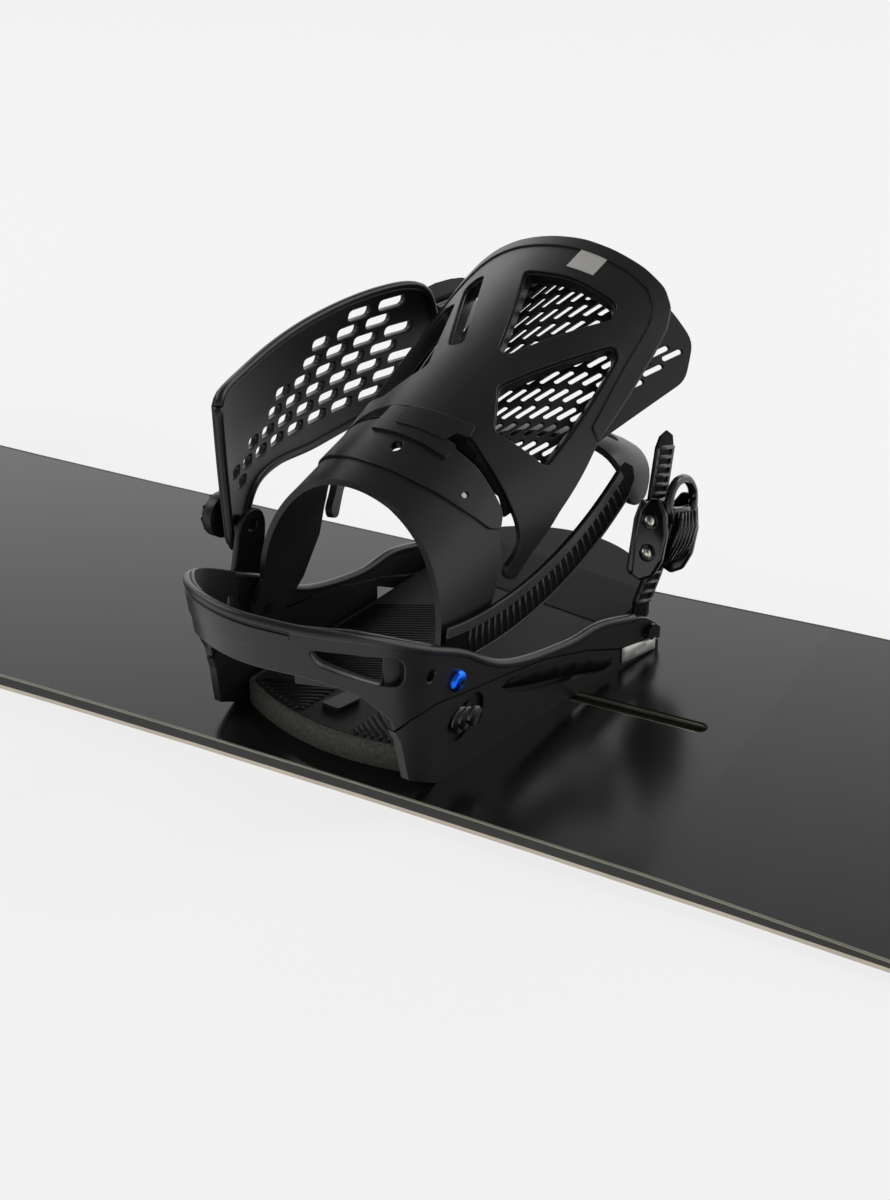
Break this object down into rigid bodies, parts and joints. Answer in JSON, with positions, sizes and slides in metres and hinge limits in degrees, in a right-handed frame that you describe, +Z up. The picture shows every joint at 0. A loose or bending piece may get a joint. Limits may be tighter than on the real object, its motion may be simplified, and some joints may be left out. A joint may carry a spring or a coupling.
{
  "type": "snowboard with bindings",
  "caption": "All-mountain snowboard with mounting channels and a pair of strap bindings with fold-down highbacks, hinged ankle and toe straps, ladders and ratchet buckles.",
  "frame": {"origin": "centre of the running base at the board's waist", "axes": "+X along the board towards the right-foot tip, +Y across it towards the toe edge, +Z up from the base"},
  "size_m": [1.58, 0.3407, 0.2235],
  "materials": {
    "base_sheet": "sintered polyethylene running base",
    "steel": "ground steel edge",
    "wood_core": "laminated wood core",
    "sidewall": "ground ABS sidewall",
    "topsheet": "gloss black topsheet",
    "channel_metal": "anodised aluminium channel track",
    "chassis_nylon": "fine-textured black nylon",
    "hoop_nylon": "satin black nylon",
    "eva_foam": "speckled EVA foam with rubber tread",
    "tread_rubber": "ribbed black rubber",
    "black_steel": "black oxide steel",
    "blue_anodised": "blue anodised",
    "shell_nylon": "satin black glass-filled nylon",
    "liner_rubber": "black moulded elastomer",
    "label": "satin silver label, blank",
    "silver_screw": "zinc plated",
    "strap_rubber": "moulded satin black strap",
    "ladder_nylon": "black nylon ladder",
    "buckle_alloy": "gloss black alloy"
  },
  "bodies": {
    "board": {"board_base": "base_sheet", "board_steel_edges": "steel", "board_core": "wood_core", "board_sidewalls": "sidewall", "board_topsheet": "topsheet", "right_channel_track": "channel_metal", "right_baseplate": "chassis_nylon", "right_heel_hoop": "hoop_nylon", "right_footbed": "tread_rubber", "right_heel_pad": "eva_foam", "right_toe_pad": "tread_rubber", "right_channel_disc": "chassis_nylon", "right_channel_bolts": "black_steel", "right_channel_nuts": "channel_metal", "right_frame_bolts": "black_steel", "right_pivot_screws": "blue_anodised", "left_channel_track": "channel_metal", "left_baseplate": "chassis_nylon", "left_heel_hoop": "hoop_nylon", "left_footbed": "tread_rubber", "left_heel_pad": "eva_foam", "left_toe_pad": "tread_rubber", "left_channel_disc": "chassis_nylon", "left_channel_bolts": "black_steel", "left_channel_nuts": "channel_metal", "left_frame_bolts": "black_steel", "left_pivot_screws": "blue_anodised"},
    "right_highback": {"right_highback_shell": "shell_nylon", "right_highback_liner": "liner_rubber", "right_heel_band": "shell_nylon", "right_highback_screws": "silver_screw", "right_highback_label": "label"},
    "right_lean_adjuster": {"right_lean_adjuster": "shell_nylon"},
    "right_ankle_strap": {"right_ankle_pad": "strap_rubber", "right_ankle_arm": "strap_rubber", "right_ankle_knob": "black_steel", "right_ankle_buckle": "buckle_alloy"},
    "right_ankle_lever": {"right_ankle_lever": "buckle_alloy"},
    "right_ankle_ladder": {"right_ankle_ladder": "ladder_nylon"},
    "right_toe_strap": {"right_toe_strap": "strap_rubber", "right_toe_buckle": "buckle_alloy"},
    "right_toe_lever": {"right_toe_lever": "buckle_alloy"},
    "right_toe_ladder": {"right_toe_ladder": "ladder_nylon"},
    "left_highback": {"left_highback_shell": "shell_nylon", "left_highback_liner": "liner_rubber", "left_heel_band": "shell_nylon", "left_highback_screws": "silver_screw", "left_highback_label": "label"},
    "left_lean_adjuster": {"left_lean_adjuster": "shell_nylon"},
    "left_ankle_strap": {"left_ankle_pad": "strap_rubber", "left_ankle_arm": "strap_rubber", "left_ankle_knob": "black_steel", "left_ankle_buckle": "buckle_alloy"},
    "left_ankle_lever": {"left_ankle_lever": "buckle_alloy"},
    "left_ankle_ladder": {"left_ankle_ladder": "ladder_nylon"},
    "left_toe_strap": {"left_toe_strap": "strap_rubber", "left_toe_buckle": "buckle_alloy"},
    "left_toe_lever": {"left_toe_lever": "buckle_alloy"},
    "left_toe_ladder": {"left_toe_ladder": "ladder_nylon"}
  },
  "joints": [
    {"name": "right_highback_fold", "type": "hinge", "parent": "board", "child": "right_highback", "pos_m": [0.26989, -0.08568, 0.062], "axis": [0.9848, -0.1736, 0], "range_deg": [0, 62]},
    {"name": "right_lean_slide", "type": "slide", "parent": "right_highback", "child": "right_lean_adjuster", "axis": [0.1632, 0.9254, 0.342], "range_m": [-0.01, 0]},
    {"name": "right_ankle_strap_swing", "type": "hinge", "parent": "board", "child": "right_ankle_strap", "pos_m": [0.26989, -0.08568, 0.062], "axis": [0.9848, -0.1736, 0], "range_deg": [-15, 25]},
    {"name": "right_ankle_lever_lift", "type": "hinge", "parent": "right_ankle_strap", "child": "right_ankle_lever", "pos_m": [0.20716, 0.12288, 0.165], "axis": [0, 0, 1], "range_deg": [0, 60]},
    {"name": "right_ankle_ladder_swing", "type": "hinge", "parent": "board", "child": "right_ankle_ladder", "pos_m": [0.26989, -0.08568, 0.062], "axis": [0.9848, -0.1736, 0], "range_deg": [-10, 4]},
    {"name": "right_toe_strap_swing", "type": "hinge", "parent": "board", "child": "right_toe_strap", "pos_m": [0.29872, 0.0778, 0.0225], "axis": [0.9848, -0.1736, 0], "range_deg": [-60, 0]},
    {"name": "right_toe_ladder_swing", "type": "hinge", "parent": "board", "child": "right_toe_ladder", "pos_m": [0.29872, 0.0778, 0.0225], "axis": [0.9848, -0.1736, 0], "range_deg": [-60, 0]},
    {"name": "right_toe_lever_lift", "type": "hinge", "parent": "right_toe_strap", "child": "right_toe_lever", "pos_m": [0.37559, 0.0742, 0.06351], "axis": [0.1749, 0.9565, -0.2334], "range_deg": [0, 60]},
    {"name": "left_highback_fold", "type": "hinge", "parent": "board", "child": "left_highback", "pos_m": [-0.26989, -0.08568, 0.062], "axis": [0.9848, 0.1736, 0], "range_deg": [0, 62]},
    {"name": "left_lean_slide", "type": "slide", "parent": "left_highback", "child": "left_lean_adjuster", "axis": [-0.1632, 0.9254, 0.342], "range_m": [-0.01, 0]},
    {"name": "left_ankle_strap_swing", "type": "hinge", "parent": "board", "child": "left_ankle_strap", "pos_m": [-0.26989, -0.08568, 0.062], "axis": [0.9848, 0.1736, 0], "range_deg": [-15, 25]},
    {"name": "left_ankle_lever_lift", "type": "hinge", "parent": "left_ankle_strap", "child": "left_ankle_lever", "pos_m": [-0.20716, 0.12288, 0.165], "axis": [0, 0, -1], "range_deg": [0, 60]},
    {"name": "left_ankle_ladder_swing", "type": "hinge", "parent": "board", "child": "left_ankle_ladder", "pos_m": [-0.26989, -0.08568, 0.062], "axis": [0.9848, 0.1736, 0], "range_deg": [-10, 4]},
    {"name": "left_toe_strap_swing", "type": "hinge", "parent": "board", "child": "left_toe_strap", "pos_m": [-0.29872, 0.0778, 0.0225], "axis": [0.9848, 0.1736, 0], "range_deg": [-60, 0]},
    {"name": "left_toe_ladder_swing", "type": "hinge", "parent": "board", "child": "left_toe_ladder", "pos_m": [-0.29872, 0.0778, 0.0225], "axis": [0.9848, 0.1736, 0], "range_deg": [-60, 0]},
    {"name": "left_toe_lever_lift", "type": "hinge", "parent": "left_toe_strap", "child": "left_toe_lever", "pos_m": [-0.37559, 0.0742, 0.06351], "axis": [0.1749, -0.9565, 0.2334], "range_deg": [0, 60]}
  ],
  "couplings": [
    {"joint": "right_toe_ladder_swing", "follows": "right_toe_strap_swing", "ratio": 1},
    {"joint": "left_toe_ladder_swing", "follows": "left_toe_strap_swing", "ratio": 1}
  ]
}
